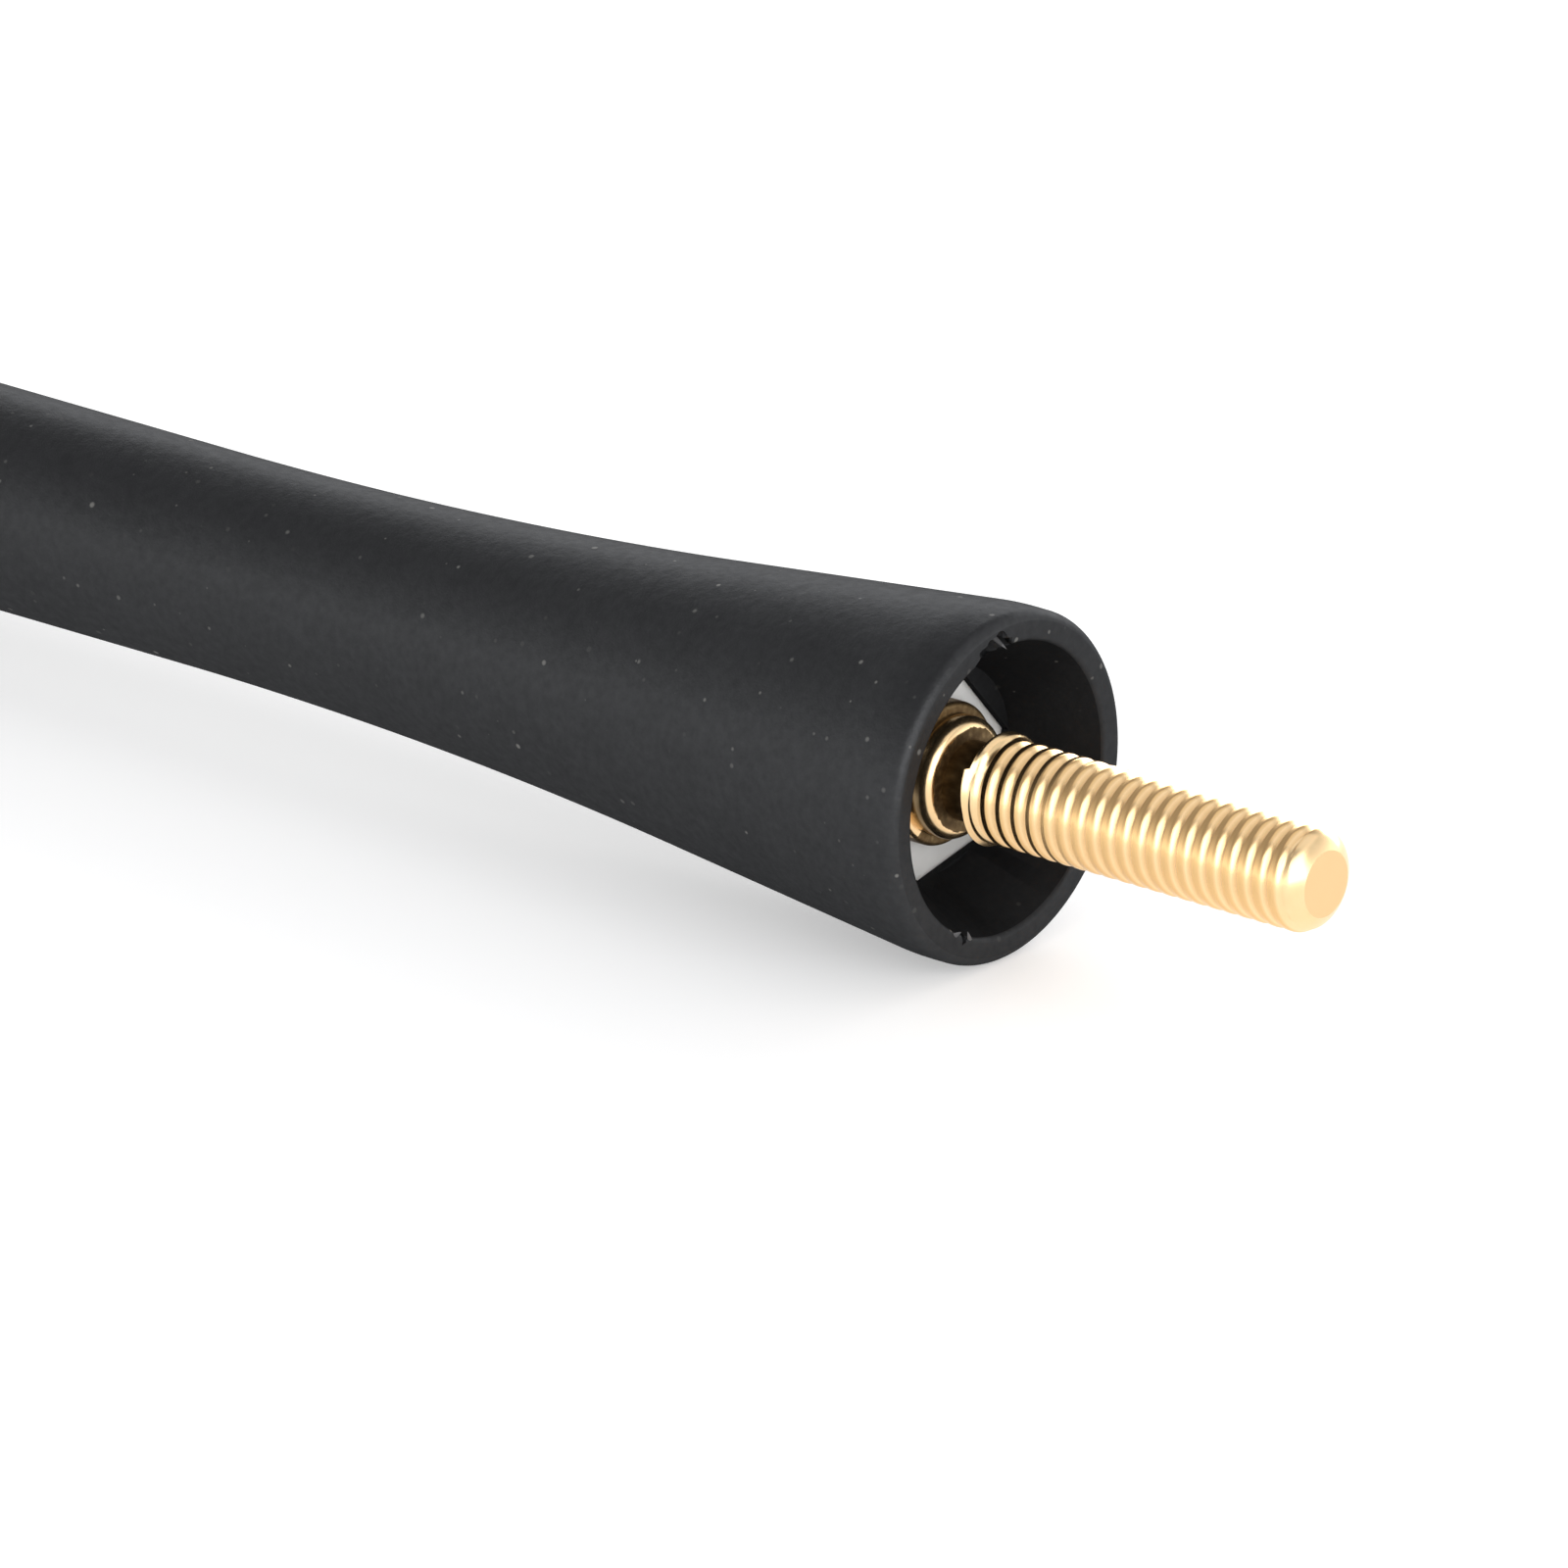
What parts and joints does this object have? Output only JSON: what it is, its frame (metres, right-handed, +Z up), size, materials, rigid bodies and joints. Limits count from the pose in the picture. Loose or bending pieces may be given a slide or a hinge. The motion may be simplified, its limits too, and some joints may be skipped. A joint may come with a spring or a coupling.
{
  "type": "car mast aerial",
  "caption": "Short flexible car roof aerial: round rubber mast flaring to an open trumpet base, with a hexagon insert and a gold threaded stud that screws it to the roof mount.",
  "frame": {"origin": "on the stud's axis, in the plane of the base's lip, where the stud's thread begins", "axes": "+X along the stud's axis, out of the mouth towards the stud's tip; the mast runs towards -X; +Z up as the aerial lies on a table"},
  "size_m": [0.1846, 0.0132, 0.0133],
  "materials": {
    "mast_rubber": "matt moulded black rubber",
    "gold_plate": "bright pale gold plating on brass",
    "nickel_plate": "bright nickel plating on brass",
    "glass_fibre": "resin-bound glass fibre",
    "copper_wire": "enamelled copper",
    "solder": "dull tin solder"
  },
  "bodies": {
    "root": {"rubber_sleeve": "mast_rubber", "threaded_stud": "gold_plate", "hex_insert": "nickel_plate", "core_rod": "glass_fibre", "wire_winding": "copper_wire", "solder_ring": "solder"}
  },
  "joints": []
}
